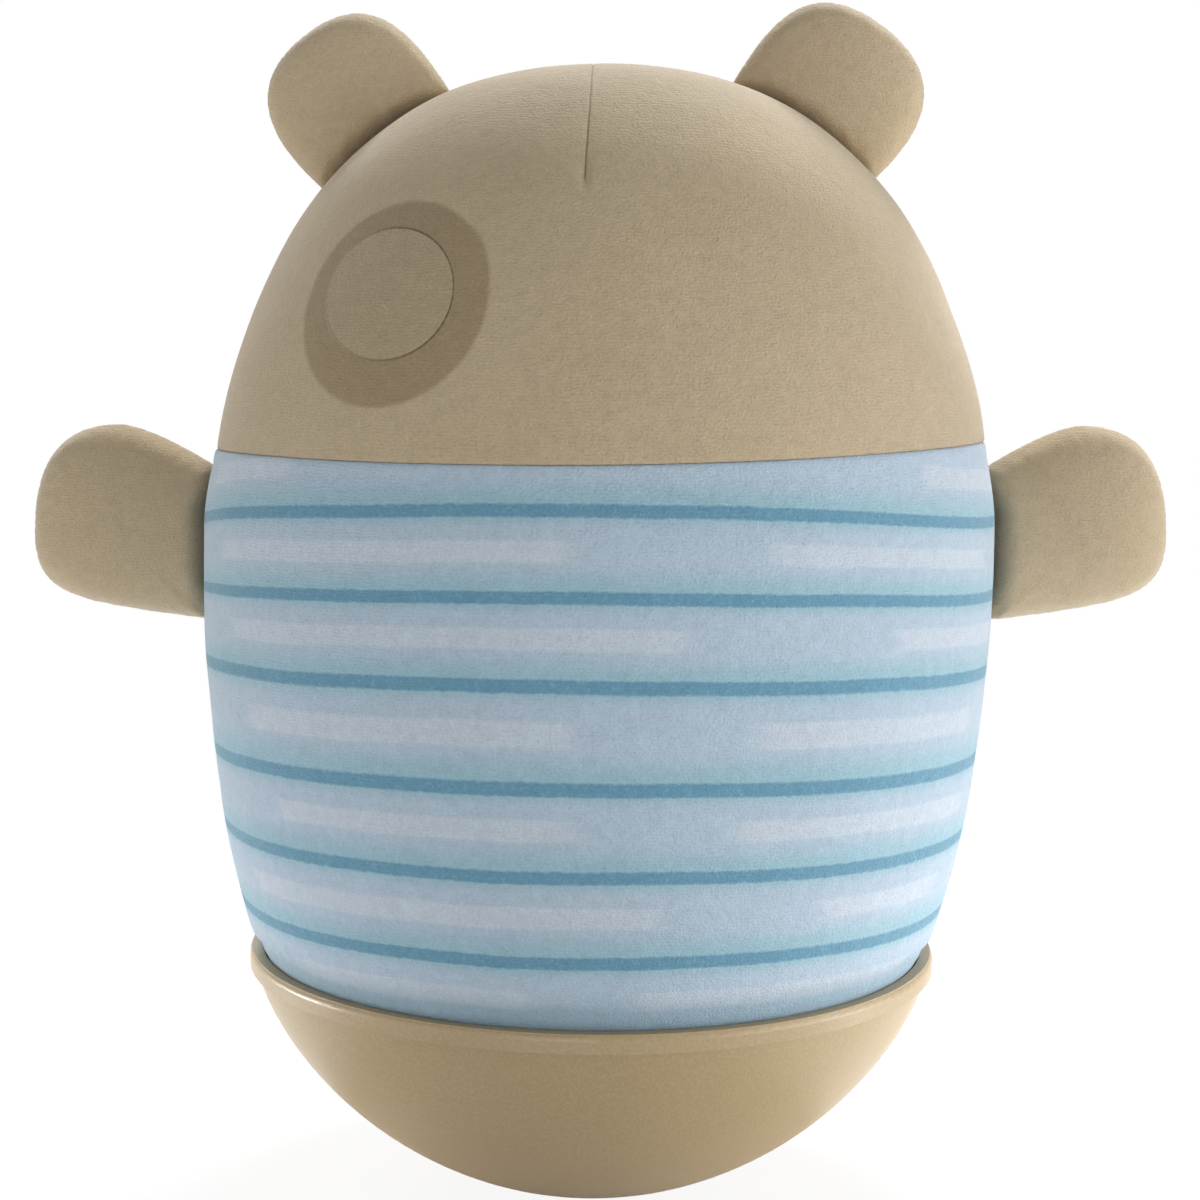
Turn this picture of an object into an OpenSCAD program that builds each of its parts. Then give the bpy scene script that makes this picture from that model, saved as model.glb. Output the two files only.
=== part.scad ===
// Plush bear that rocks on a weighted bowl and rights itself, with a chime in the bowl.
// The bear faces -Y, +Z is up, and the origin is the middle of the small flat under the bowl.

/* [Bowl] */
// Height of the bowl from the flat to the top of its lip
bowl_h = 43.5; // [36:0.5:52]
// Outer radius of the bowl wall just under the lip
bowl_r = 60.4; // [54:0.2:66]
// Wall of the bowl
bowl_wall = 1.8; // [1.4:0.1:3]
// Floor of the bowl over the flat
bowl_floor = 2.4; // [1.8:0.1:4]
// Radius of the flat that the toy rests on
foot_r = 8; // [5:0.5:12]
// How far the lip stands out from the wall
lip_proud = 0.4; // [0.3:0.1:1.2]
// Height of the lip
lip_h = 3.4; // [2.4:0.1:5]
// Drop from the lip to the inner ledge that carries the deck
ledge_drop = 9.5; // [8:0.5:12]
// Thickness of the ledge
ledge_t = 2.4; // [1.8:0.1:4]
// How far the ledge and the fabric hem on it reach in past the middle of the screws
ledge_reach = 4; // [3.8:0.1:6]

/* [Ballast] */
// Top of the iron weight
ballast_top = 18; // [15:0.5:20]
// Radius of the circle that the weight's screws stand on
ballast_screw_circle = 26; // [24:0.5:29]
// Diameter of the posts in the bowl that the weight's screws bite into
ballast_post_d = 8; // [6.5:0.5:9]
// Diameter of the weight's screw heads, wide enough to cover the post holes
ballast_head_d = 11.5; // [10.5:0.5:13]
// How far the posts stop under the top of the weight
ballast_post_drop = 1; // [0.5:0.1:2]

/* [Deck] */
// Thickness of the deck's flange and dome
deck_t = 2.2; // [1.6:0.1:3]
// Width of the flange between the ledge's inner edge and the dome
dome_inset = 5.5; // [4:0.5:8]
// Rise of the dome over the flange
dome_rise = 24; // [22:0.5:28]
// Number of deck screws
deck_screws_n = 6; // [4:2:8]
// Diameter of the posts under the ledge
deck_post_d = 7; // [6:0.5:7.5]
// Thickness of the ribs that tie the posts to the bowl's wall
post_rib_t = 2; // [1.5:0.1:3]

/* [Screws] */
// Diameter of the screw shanks
screw_d = 2.8; // [2:0.1:3.2]
// Length of the screws under the head
screw_len = 9; // [6:0.5:10]
// Diameter of the small screw heads
screw_head_d = 5.4; // [5:0.1:6]
// Height of the screw heads
screw_head_h = 1.8; // [1.2:0.1:2.2]

/* [Chime] */
// Radius of the block that holds the rods
chime_block_r = 16; // [15:0.5:18]
// Thickness of the block
chime_block_t = 3; // [2.5:0.1:4]
// Height of the sockets on the block
chime_socket_h = 4; // [3:0.5:5]
// Diameter of the sockets
chime_socket_d = 6; // [5:0.5:6.5]
// Diameter of the rods
rod_d = 2.4; // [1.6:0.1:3]
// Radius of the circle that the rods stand on
rod_circle = 11; // [10.5:0.5:12]
// Free length of the shortest rod
rod_len = 12; // [9:0.5:14]
// How much longer each next rod is
rod_step = 2; // [0.5:0.5:2.5]
// Margin from the block's screw heads to its edge
chime_margin = 0.8; // [0.4:0.1:1.2]

/* [Striker] */
// Wire of the eye under the dome
eye_wire_d = 1.6; // [1.2:0.1:2]
// Radius of the eye at the middle of its wire
eye_ring_r = 2.4; // [2.2:0.1:3]
// Wire of the link and of the striker's loop
link_wire_d = 1.4; // [1:0.1:1.6]
// Radius of the link's ends and of the loop at the middle of the wire
link_end_r = 1.9; // [1.8:0.1:2.4]
// Distance between the two pivots of the link
link_pitch = 7; // [6.5:0.5:9]
// Diameter of the striker's bead
bead_d = 10; // [8:0.5:11]
// Height of the bead over the tops of the rod sockets
bead_lift = 0.2; // [0:0.1:2]
// What is left of the bead under the end of its wire
bead_floor = 1; // [0.8:0.1:3]

/* [Body] */
// Height of the body from the bowl's lip to the neck seam
body_h = 87.5; // [76:0.5:98]
// Radius of the neck seam
neck_r = 67.4; // [62:0.2:68]
// Largest radius of the body
body_r_max = 69.5; // [68:0.5:74]
// Drop from the neck seam to the body's largest radius
shoulder_drop = 13; // [10:0.5:20]
// How far the cloth at the lip lies inside the outside of the bowl's wall
lip_tuck = 0.8; // [0:0.1:1.6]
// Height over the lip where the cloth starts to tuck in
tuck_h = 1.5; // [1:0.1:3]
// How full the shoulders are under the neck
shoulder_power = 1.6; // [1.2:0.1:3]
// How full the belly is over the lip
belly_power = 2.4; // [1.8:0.1:3]

/* [Head] */
// Height of the head from the neck seam to the crown
head_h = 67; // [56:0.5:80]
// How soon the head leaves the upright over the neck
head_power = 1.5; // [1.3:0.1:2]
// How blunt the crown is
crown_power = 2.6; // [2:0.1:3]
// Drop from the crown to the end of the forehead dart
dart_drop = 25.5; // [10:0.5:32]
// Width of the dart's fold
dart_w = 0.8; // [0.5:0.1:1.5]
// Diameter of the sewn eye disc, seen from the front
disc_d = 21; // [16:0.5:25]
// Distance of the disc's middle from the middle line
disc_x = 32.5; // [24:0.5:36]
// Drop from the crown to the disc's middle
disc_drop = 43; // [34:0.5:50]
// Thickness of the disc
disc_t = 0.8; // [0.5:0.1:1.5]

/* [Arms] */
// Drop from the neck seam to the middle of the arm's sewn root
arm_drop = 17; // [16:0.5:27]
// Length of the arm's sewn root
arm_root = 26.6; // [20:0.2:28]
// Reach of the arm from the side seam
arm_len = 31.4; // [24:0.2:36]
// Rise of the mitten's top over the middle of the root
arm_rise = 21.2; // [16:0.2:24]
// Thickness of the stuffed arm
arm_t = 17; // [10:0.5:20]

/* [Ears] */
// Drop from the crown to the inner end of the ear's sewn root
ear_in_drop = 2.5; // [2:0.5:6]
// Drop from the crown to the outer end of the ear's sewn root
ear_out_drop = 21; // [15:0.5:26]
// Height of the ear over its root
ear_h = 24; // [18:0.5:28]
// How far the ear's sides swell past its root
ear_flare = 1; // [0:0.1:4]
// Thickness of the stuffed ear
ear_t = 12; // [7:0.5:14]

/* [Fabric] */
// Thickness of the knitted cloth
skin = 1.2; // [0.8:0.1:1.6]
// Thickness of the wadding behind the cloth of the head and body
wadding = 4; // [2:0.5:5]

/* [Clearances] */
// Gap round soft pieces and under sewn roots
soft_gap = 0.3; // [0.2:0.05:0.5]
// Gap between cloth layers and the wadding behind them
cloth_gap = 0.2; // [0.1:0.05:0.4]
// Gap round the weight in the bowl
ballast_gap = 0.3; // [0.2:0.05:0.6]
// Gap between the deck's screw heads and the wadding beside them
head_gap = 1.5; // [0.5:0.1:2]
// Gap round posts, shanks and rods in their holes
hole_gap = 0.1; // [0.05:0.05:0.2]
// Gap between the loops of the striker's chain
loop_gap = 0.15; // [0.1:0.05:0.3]

/* [Hidden] */
$fn = 96;
curve_steps = 26;
tuck_steps = 4;
bowl_power = 1.52;
cut = 1;
tan_knit = "#b3a286";
tan_plastic = "#ad9871";
stripe_knit = "#a9c6d6";
fibre = "#f1efe9";
neck_z = bowl_h + body_h;
crown_z = neck_z + head_h;
body_z_max = neck_z - shoulder_drop;
body_r_lip = bowl_r - lip_tuck;
dart_end_z = crown_z - dart_drop;
disc_z = crown_z - disc_drop;
arm_z = neck_z - arm_drop;
ear_z_hi = crown_z - ear_in_drop;
ear_z_lo = crown_z - ear_out_drop;
hem_t = skin;
ledge_z = bowl_h - ledge_drop;
flange_z = ledge_z + hem_t;
wadding_z = flange_z + deck_t;
flange_r = fabric_r(flange_z) - skin - cloth_gap;
deck_screw_circle = fabric_r(wadding_z) - skin - cloth_gap - wadding - head_gap - screw_head_d / 2;
deck_bore_z = wadding_z - screw_len - cut;
deck_post_z = deck_bore_z - cut;
ledge_r = deck_screw_circle - ledge_reach;
dome_r = ledge_r - dome_inset;
dome_top = wadding_z + dome_rise;
dome_sphere_r = (dome_r * dome_r + dome_rise * dome_rise) / (2 * dome_rise);
post_bore_d = screw_d + hole_gap;
ballast_post_top = ballast_top - ballast_post_drop;
chime_z = ballast_top + chime_block_t;
socket_top = chime_z + chime_socket_h;
rod_z = ballast_top + chime_block_t / 2;
bead_z = socket_top + bead_lift + bead_d / 2;
chime_screw_circle = chime_block_r - screw_head_d / 2 - chime_margin;
eye_boss_d = 9;
eye_boss_drop = 3.4;
eye_boss_z = dome_top - deck_t - eye_boss_drop;
eye_ring_z = eye_boss_z - eye_wire_d / 2 - eye_ring_r;
link_pivot_z = eye_ring_z - eye_ring_r;
link_top_z = link_pivot_z + (eye_wire_d + link_wire_d) / 2 + loop_gap - link_end_r;
link_low_z = link_pivot_z - link_pitch + link_end_r;
striker_pivot_z = link_pivot_z - link_pitch;
loop_z = striker_pivot_z + link_wire_d + loop_gap - link_end_r;
stem_end_z = bead_z - bead_d / 2 + bead_floor;
arm_x = body_r_max + soft_gap;
arm_mid = [arm_x + 0.5 * arm_len, arm_z + 0.16 * arm_rise];
arm_taper = 0.32 * arm_len;
ear_in = [head_r(ear_z_hi, -soft_gap), ear_z_hi];
ear_out = [head_r(ear_z_lo, -soft_gap), ear_z_lo];
ear_base = (ear_in + ear_out) / 2;
ear_half = norm(ear_out - ear_in) / 2;
ear_along = (ear_out - ear_in) / (2 * ear_half);
ear_up = [-ear_along.y, ear_along.x];
ear_mid = ear_base + 0.5 * ear_h * ear_up;
ear_taper = 0.35 * ear_h;
pillow_rings = 5;
pillow_power = 0.55;

// Curves of the bowl, body and head

// Share of the bowl's radius at a depth from 0 at the lip to 1 at the tip of the curve
function bowl_share(depth) = sqrt(max(0, 1 - pow(depth, bowl_power)));
// Depth at which the outside of the bowl is as wide as the flat
foot_depth = pow(1 - pow(foot_r / bowl_r, 2), 1 / bowl_power);
// Outside of the bowl from the flat to the lip
function bowl_outside() = [for (i = [0:curve_steps])
    let (depth = foot_depth * (1 - pow(i / curve_steps, 1.5)))
    [bowl_r * bowl_share(depth), bowl_h * (1 - depth / foot_depth)]];
// Inside of the bowl, drawn in by a gap, at height z
function bowl_inside_r(z, gap = 0) =
    (bowl_r - bowl_wall - gap) * bowl_share(max(0, bowl_h - z) / (bowl_h - bowl_floor - gap));
// Inside of the bowl from its floor up to height top
function bowl_inside(top, gap = 0) = [for (i = [0:curve_steps])
    let (z = bowl_floor + gap + (top - bowl_floor - gap) * pow(i / curve_steps, 1.5))
    [bowl_inside_r(z, gap), z]];

// Outside of the body's cloth over the lip
function body_r(z) = z > body_z_max
    ? body_r_max - (body_r_max - neck_r) * pow((z - body_z_max) / (neck_z - body_z_max), shoulder_power)
    : body_r_max - (body_r_max - body_r_lip) * pow((body_z_max - z) / (body_z_max - bowl_h), belly_power);
// Outside of the body's cloth, tucked in where it goes down inside the bowl
function fabric_r(z) = z > bowl_h ? body_r(z) : bowl_inside_r(z, soft_gap);
// Body curve from height low inside the bowl to the neck, drawn in by an inset
function body_curve(low, inset) = concat(
    [for (i = [0:tuck_steps]) let (z = low + (bowl_h - low) * i / tuck_steps)
        [fabric_r(z) - inset, z]],
    [for (i = [0:curve_steps]) let (z = bowl_h + tuck_h + (body_h - tuck_h) * i / curve_steps)
        [fabric_r(z) - inset, z]]);

// Outside of the head's cloth at height z, drawn in by an inset
function head_r(z, inset = 0) = (neck_r - inset) *
    pow(max(0, 1 - pow((z - neck_z) / (crown_z - inset - neck_z), head_power)), 1 / crown_power);
// Head curve from the neck to the crown, drawn in by an inset
function head_curve(inset) = [for (i = [0:curve_steps])
    let (z = neck_z + (crown_z - inset - neck_z) * (1 - pow(1 - i / curve_steps, 2)))
    [head_r(z, inset), z]];

function reversed(list) = [for (i = [len(list) - 1:-1:0]) list[i]];

// Stuffed limbs

function bezier(a, b, c, d, steps) = [for (i = [0:steps - 1])
    let (t = i / steps, u = 1 - t)
    u * u * u * a + 3 * u * u * t * b + 3 * u * t * t * c + t * t * t * d];

// Outline of the right arm, seen from the front, with its root along the side seam
arm_low = [body_r(arm_z - arm_root / 2) + soft_gap, arm_z - arm_root / 2];
arm_high = [body_r(arm_z + arm_root / 2) + soft_gap, arm_z + arm_root / 2];
arm_tip = [arm_x + arm_len, arm_z + 0.09 * arm_rise];
arm_top = [arm_x + 0.52 * arm_len, arm_z + arm_rise];
arm_outline = concat(
    bezier(arm_low, [arm_x + 0.76 * arm_len, arm_low.y + 0.13 * arm_root],
        [arm_x + arm_len, arm_z - 0.46 * arm_rise], arm_tip, 8),
    bezier(arm_tip, [arm_x + arm_len, arm_z + 0.6 * arm_rise],
        [arm_x + 0.9 * arm_len, arm_z + arm_rise], arm_top, 8),
    bezier(arm_top, [arm_x + 0.38 * arm_len, arm_z + arm_rise],
        [arm_x + 0.09 * arm_len, arm_z + 0.76 * arm_rise], arm_high, 6),
    [for (i = [0:4]) let (z = arm_high.y - arm_root * i / 5) [body_r(z) + soft_gap, z]]);

// Outline of the right ear, seen from the front, with its root along the crown seam
function ear_point(along, up) = ear_base + along * ear_along + up * ear_up;
ear_outline = concat(
    bezier(ear_out, ear_point(ear_half + ear_flare, 0.59 * ear_h),
        ear_point(0.9 * ear_half, ear_h), ear_point(0, ear_h), 10),
    bezier(ear_point(0, ear_h), ear_point(-0.9 * ear_half, ear_h),
        ear_point(-ear_half - ear_flare, 0.59 * ear_h), ear_in, 10),
    [for (i = [0:4]) let (z = ear_z_hi - (ear_z_hi - ear_z_lo) * i / 5) [head_r(z, -soft_gap), z]]);

function arm_reach(p) = p.x - arm_x;
function ear_reach(p) = (p - ear_base) * ear_up;
// Swelling from 0 along the sewn root to 1 at a given reach from it
function root_swell(reach, taper) = sin(90 * min(1, max(0, reach / taper)));

// Points of the front half of a pillow: rings from the outline to the middle, then the middle
function pillow_points(outline, mid, half_t, inset, reach, taper) =
    let (narrow = min([for (p = outline) norm(p - mid)]), share = 1 - inset / narrow)
    concat(
        [for (j = [0:pillow_rings - 1]) let (s = cos(90 * j / pillow_rings))
            for (p = outline) let (
                q = mid + share * s * (p - mid),
                swell = pow(1 - s * s, pillow_power) * root_swell(reach(q), taper))
            [q.x, -(half_t - inset) * swell, q.y]],
        [[mid.x, -(half_t - inset), mid.y]]);

// Faces of that front half, looking out to the front, from point number first on
function pillow_faces(n, first) = concat(
    [for (j = [0:pillow_rings - 2]) for (i = [0:n - 1]) let (
        a = first + j * n + i, b = first + j * n + (i + 1) % n) each [[a, a + n, b + n], [a, b + n, b]]],
    [for (i = [0:n - 1]) let (a = first + (pillow_rings - 1) * n)
        [a + i, first + pillow_rings * n, a + (i + 1) % n]]);

function flipped(faces) = [for (f = faces) [f[2], f[1], f[0]]];

// Cloth of the front half of a pillow, with a flat edge where it is sewn to the back half
module pillow_panel(outline, mid, half_t, reach, taper) {
    n = len(outline);
    inner = pillow_rings * n + 1;
    polyhedron(
        points = concat(
            pillow_points(outline, mid, half_t, 0, reach, taper),
            pillow_points(outline, mid, half_t, skin, reach, taper)),
        faces = concat(
            pillow_faces(n, 0),
            flipped(pillow_faces(n, inner)),
            [for (i = [0:n - 1]) let (k = (i + 1) % n)
                each [[i, k, inner + k], [i, inner + k, inner + i]]]));
}

// Stuffing of a pillow, front and back halves in one solid
module pillow_stuffing(outline, mid, half_t, reach, taper) {
    n = len(outline);
    front = pillow_points(outline, mid, half_t, skin + cloth_gap, reach, taper);
    back = [for (i = [n:len(front) - 1]) [front[i].x, -front[i].y, front[i].z]];
    back_faces = [for (f = flipped(pillow_faces(n, 0)))
        [for (k = f) k < n ? k : k + len(front) - n]];
    polyhedron(points = concat(front, back), faces = concat(pillow_faces(n, 0), back_faces));
}

module arm_panel()
    pillow_panel(arm_outline, arm_mid, arm_t / 2, function(p) arm_reach(p), arm_taper);
module arm_stuffing()
    pillow_stuffing(arm_outline, arm_mid, arm_t / 2, function(p) arm_reach(p), arm_taper);
module ear_panel()
    pillow_panel(ear_outline, ear_mid, ear_t / 2, function(p) ear_reach(p), ear_taper);
module ear_stuffing()
    pillow_stuffing(ear_outline, ear_mid, ear_t / 2, function(p) ear_reach(p), ear_taper);
// What is drawn for the right side is mirrored to the left, and a front half to the back
module on_left() mirror([1, 0, 0]) children();
module on_back() mirror([0, 1, 0]) children();

// Screws and their places

module screw(head_d) {
    cylinder(d = head_d, h = screw_head_h);
    translate([0, 0, -screw_len]) cylinder(d = screw_d, h = screw_len + screw_head_h / 2);
}

module at_deck_screws() {
    for (i = [0:deck_screws_n - 1])
        rotate([0, 0, 360 * (i + 0.5) / deck_screws_n]) translate([deck_screw_circle, 0, 0]) children();
}

module at_ballast_screws() {
    for (a = [90, 210, 330]) rotate([0, 0, a]) translate([ballast_screw_circle, 0, 0]) children();
}

module at_chime_screws() {
    for (a = [45, 225]) rotate([0, 0, a]) translate([chime_screw_circle, 0, 0]) children();
}

module at_rod(i) rotate([0, 0, 90 * (i - 1)]) translate([rod_circle, 0, 0]) children();

// Base

module bowl_solid() rotate_extrude() polygon(concat([[0, 0]], bowl_outside(), [[0, bowl_h]]));

module bowl_hollow() rotate_extrude() polygon(concat(
    [[0, bowl_floor]],
    bowl_inside(bowl_h),
    [[bowl_r - bowl_wall, bowl_h + cut], [0, bowl_h + cut]]));

module bowl_lip() {
    roll = (bowl_wall + lip_proud) / 2;
    lip_r = bowl_r + lip_proud;
    rotate_extrude() {
        translate([lip_r - roll, bowl_h - roll]) circle(r = roll);
        polygon([[bowl_r - bowl_wall, bowl_h - roll], [lip_r, bowl_h - roll],
            [lip_r, bowl_h - lip_h + lip_proud], [bowl_r - bowl_wall / 2, bowl_h - lip_h]]);
    }
}

module bowl_inner_works() {
    translate([0, 0, ledge_z - ledge_t]) difference() {
        cylinder(r = bowl_r, h = ledge_t);
        translate([0, 0, -cut]) cylinder(r = ledge_r, h = ledge_t + 2 * cut);
    }
    at_deck_screws() translate([0, 0, deck_post_z]) {
        cylinder(d = deck_post_d, h = ledge_z - deck_post_z);
        translate([0, -post_rib_t / 2, 0]) cube([bowl_r, post_rib_t, ledge_z - deck_post_z]);
    }
    at_ballast_screws() cylinder(d = ballast_post_d, h = ballast_post_top);
}

module base_bowl() color(tan_plastic) difference() {
    union() {
        difference() {
            bowl_solid();
            bowl_hollow();
        }
        bowl_lip();
        intersection() {
            bowl_inner_works();
            bowl_solid();
        }
    }
    at_deck_screws() translate([0, 0, deck_bore_z]) cylinder(d = post_bore_d, h = screw_len);
    at_ballast_screws() translate([0, 0, ballast_top - screw_len - cut])
        cylinder(d = post_bore_d, h = screw_len);
}

module ballast_weight() color("dimgray") difference() {
    rotate_extrude() polygon(concat(
        [[0, bowl_floor + ballast_gap]], bowl_inside(ballast_top, ballast_gap), [[0, ballast_top]]));
    at_ballast_screws() cylinder(d = ballast_post_d + 2 * ballast_gap, h = ballast_top + cut);
    at_chime_screws() translate([0, 0, chime_z - screw_len - cut])
        cylinder(d = post_bore_d, h = screw_len);
}

module ballast_screws() color("silver")
    at_ballast_screws() translate([0, 0, ballast_top]) screw(ballast_head_d);

// Domed lid over the chime, with a boss for the eye; its flange clamps the fabric hem
module dome(rise, r) translate([0, 0, wadding_z + rise - r]) sphere(r = r);

module base_deck() color("whitesmoke") difference() {
    union() {
        translate([0, 0, flange_z]) cylinder(r = flange_r, h = deck_t);
        intersection() {
            dome(dome_rise, dome_sphere_r);
            translate([0, 0, flange_z]) cylinder(r = dome_r, h = dome_rise + deck_t);
        }
    }
    difference() {
        intersection() {
            dome(dome_rise - deck_t, dome_sphere_r - deck_t);
            translate([0, 0, flange_z - cut]) cylinder(r = dome_r - deck_t, h = dome_rise + deck_t);
        }
        translate([0, 0, eye_boss_z]) cylinder(d = eye_boss_d, h = eye_boss_drop + deck_t);
    }
    translate([0, 0, flange_z - cut]) cylinder(r = dome_r - 2 * deck_t, h = deck_t + cut);
    translate([0, 0, eye_boss_z - cut]) cylinder(d = eye_wire_d + hole_gap, h = eye_boss_drop + cut);
    at_deck_screws() translate([0, 0, flange_z - cut])
        cylinder(d = post_bore_d, h = deck_t + 2 * cut);
}

module deck_screws() color("silver")
    at_deck_screws() translate([0, 0, wadding_z]) screw(screw_head_d);

// Chime

module chime_block() color("whitesmoke") difference() {
    union() {
        translate([0, 0, ballast_top]) cylinder(r = chime_block_r, h = chime_block_t);
        for (i = [1:4]) at_rod(i) translate([0, 0, ballast_top])
            cylinder(d = chime_socket_d, h = socket_top - ballast_top);
    }
    for (i = [1:4]) at_rod(i) translate([0, 0, rod_z]) cylinder(d = rod_d + hole_gap, h = socket_top);
    at_chime_screws() translate([0, 0, ballast_top - cut])
        cylinder(d = post_bore_d, h = chime_block_t + 2 * cut);
}

module chime_screws() color("silver")
    at_chime_screws() translate([0, 0, chime_z]) screw(screw_head_d);

module chime_rod(i) color("lightsteelblue") at_rod(i) translate([0, 0, rod_z])
    cylinder(d = rod_d, h = socket_top + rod_len + (i - 1) * rod_step - rod_z);

// Striker

module ring(r, wire_d) rotate([90, 0, 0]) rotate_extrude() translate([r, 0]) circle(d = wire_d);

module half_ring(r, wire_d) rotate([90, 0, 0]) rotate_extrude(angle = 180)
    translate([r, 0]) circle(d = wire_d);

module striker_eye() color("silver") {
    translate([0, 0, eye_ring_z]) ring(eye_ring_r, eye_wire_d);
    translate([0, 0, eye_ring_z + eye_ring_r])
        cylinder(d = eye_wire_d, h = eye_boss_drop + eye_wire_d / 2 - hole_gap);
}

module striker_link() color("silver") rotate([0, 0, 90]) {
    translate([0, 0, link_top_z]) half_ring(link_end_r, link_wire_d);
    translate([0, 0, link_low_z]) mirror([0, 0, 1]) half_ring(link_end_r, link_wire_d);
    for (side = [-1, 1]) translate([side * link_end_r, 0, link_low_z])
        cylinder(d = link_wire_d, h = link_top_z - link_low_z);
}

module striker_stem() color("silver") {
    translate([0, 0, loop_z]) ring(link_end_r, link_wire_d);
    translate([0, 0, stem_end_z]) cylinder(d = link_wire_d, h = loop_z - link_end_r - stem_end_z);
}

module striker_bead() color("burlywood") difference() {
    translate([0, 0, bead_z]) sphere(d = bead_d);
    translate([0, 0, stem_end_z - hole_gap]) cylinder(d = link_wire_d + hole_gap, h = bead_d);
}

// Body and head

// Cloth of the body: the hem under the deck, the tuck inside the bowl, the belly and the shoulders
module body_panel() difference() {
    rotate_extrude(angle = 180) polygon(concat(
        [[ledge_r, flange_z], [ledge_r, ledge_z]],
        body_curve(ledge_z, 0),
        reversed(body_curve(flange_z, skin))));
    at_deck_screws() translate([0, 0, ledge_z - cut]) cylinder(d = post_bore_d, h = hem_t + 2 * cut);
}

module body_front_panel() color(stripe_knit) rotate([0, 0, 180]) body_panel();

module body_back_panel() color(stripe_knit) body_panel();

module body_wadding() color(fibre) rotate_extrude() polygon(concat(
    body_curve(wadding_z, skin + cloth_gap),
    reversed(body_curve(wadding_z, skin + cloth_gap + wadding))));

module head_shell(outer, inner, angle) rotate_extrude(angle = angle)
    polygon(concat(head_curve(outer), reversed(head_curve(inner))));

module head_front_panel() color(tan_knit) difference() {
    rotate([0, 0, 180]) head_shell(0, skin, 180);
    intersection() {
        rotate([0, 0, 180]) head_shell(-cut, skin / 2, 180);
        translate([-dart_w / 2, -neck_r, dart_end_z]) cube([dart_w, neck_r, crown_z]);
    }
}

module head_back_panel() color(tan_knit) head_shell(0, skin, 180);

module head_wadding() color(fibre) head_shell(skin + cloth_gap, skin + cloth_gap + wadding, 360);

module eye_disc() color("#a8966f") intersection() {
    rotate([0, 0, 180]) head_shell(-cloth_gap - disc_t, -cloth_gap, 180);
    translate([-disc_x, 0, disc_z]) rotate([90, 0, 0]) cylinder(d = disc_d, h = 2 * neck_r);
}

// Arms and ears, left and right as the viewer sees them

module arm_left_front_panel() color(tan_knit) on_left() arm_panel();
module arm_left_back_panel() color(tan_knit) on_left() on_back() arm_panel();
module arm_left_stuffing() color(fibre) on_left() arm_stuffing();
module arm_right_front_panel() color(tan_knit) arm_panel();
module arm_right_back_panel() color(tan_knit) on_back() arm_panel();
module arm_right_stuffing() color(fibre) arm_stuffing();
module ear_left_front_panel() color(tan_knit) on_left() ear_panel();
module ear_left_back_panel() color(tan_knit) on_left() on_back() ear_panel();
module ear_left_stuffing() color(fibre) on_left() ear_stuffing();
module ear_right_front_panel() color(tan_knit) ear_panel();
module ear_right_back_panel() color(tan_knit) on_back() ear_panel();
module ear_right_stuffing() color(fibre) ear_stuffing();

base_bowl();
ballast_weight();
ballast_screws();
base_deck();
deck_screws();
chime_block();
chime_screws();
chime_rod(1);  // chime_rod_1
chime_rod(2);  // chime_rod_2
chime_rod(3);  // chime_rod_3
chime_rod(4);  // chime_rod_4
striker_eye();
striker_link();
striker_stem();
striker_bead();
body_front_panel();
body_back_panel();
body_wadding();
head_front_panel();
head_back_panel();
head_wadding();
eye_disc();
arm_left_front_panel();
arm_left_back_panel();
arm_left_stuffing();
arm_right_front_panel();
arm_right_back_panel();
arm_right_stuffing();
ear_left_front_panel();
ear_left_back_panel();
ear_left_stuffing();
ear_right_front_panel();
ear_right_back_panel();
ear_right_stuffing();
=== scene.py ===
# %% [markdown]
# # A plush bear that rocks on a weighted bowl
# The toy is a sewn bear on a plastic bowl. The bowl, the weight and the chime come from the construction
# model as they are. The sewn parts are rebuilt here as cloth, because a plain solid has no stuffed swell,
# no puckers and no pile. Lengths in this lesson are in millimetres, and MM turns them into Blender's
# metres. Only the studio round the toy is measured in metres.

# %% Load the construction model
import math

import bpy
import numpy as np
from mathutils import Matrix, Vector, geometry, noise


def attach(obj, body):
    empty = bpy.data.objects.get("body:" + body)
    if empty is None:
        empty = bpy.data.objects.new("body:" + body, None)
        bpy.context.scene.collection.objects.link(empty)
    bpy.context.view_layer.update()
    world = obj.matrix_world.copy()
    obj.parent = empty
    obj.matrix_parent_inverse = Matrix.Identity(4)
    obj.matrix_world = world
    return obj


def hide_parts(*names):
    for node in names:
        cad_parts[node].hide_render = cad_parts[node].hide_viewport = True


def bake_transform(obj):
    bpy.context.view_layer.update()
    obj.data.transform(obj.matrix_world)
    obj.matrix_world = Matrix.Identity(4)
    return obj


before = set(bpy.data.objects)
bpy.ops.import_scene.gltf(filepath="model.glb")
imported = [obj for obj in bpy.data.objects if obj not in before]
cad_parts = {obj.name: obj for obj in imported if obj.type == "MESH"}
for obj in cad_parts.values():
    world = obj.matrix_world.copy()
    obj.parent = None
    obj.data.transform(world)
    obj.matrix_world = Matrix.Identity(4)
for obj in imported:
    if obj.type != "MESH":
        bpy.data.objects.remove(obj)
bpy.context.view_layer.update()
scene = bpy.context.scene
MM = 0.001

# %% [markdown]
# ## Camera
# The picture is taken from the height of the bear's neck with a fairly long lens, a little down. A camera
# that looks further down would make the toy's sides lean together, so the frame is shifted down instead.
# The toy stands a little askew, which a small roll of the camera gives.

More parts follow.
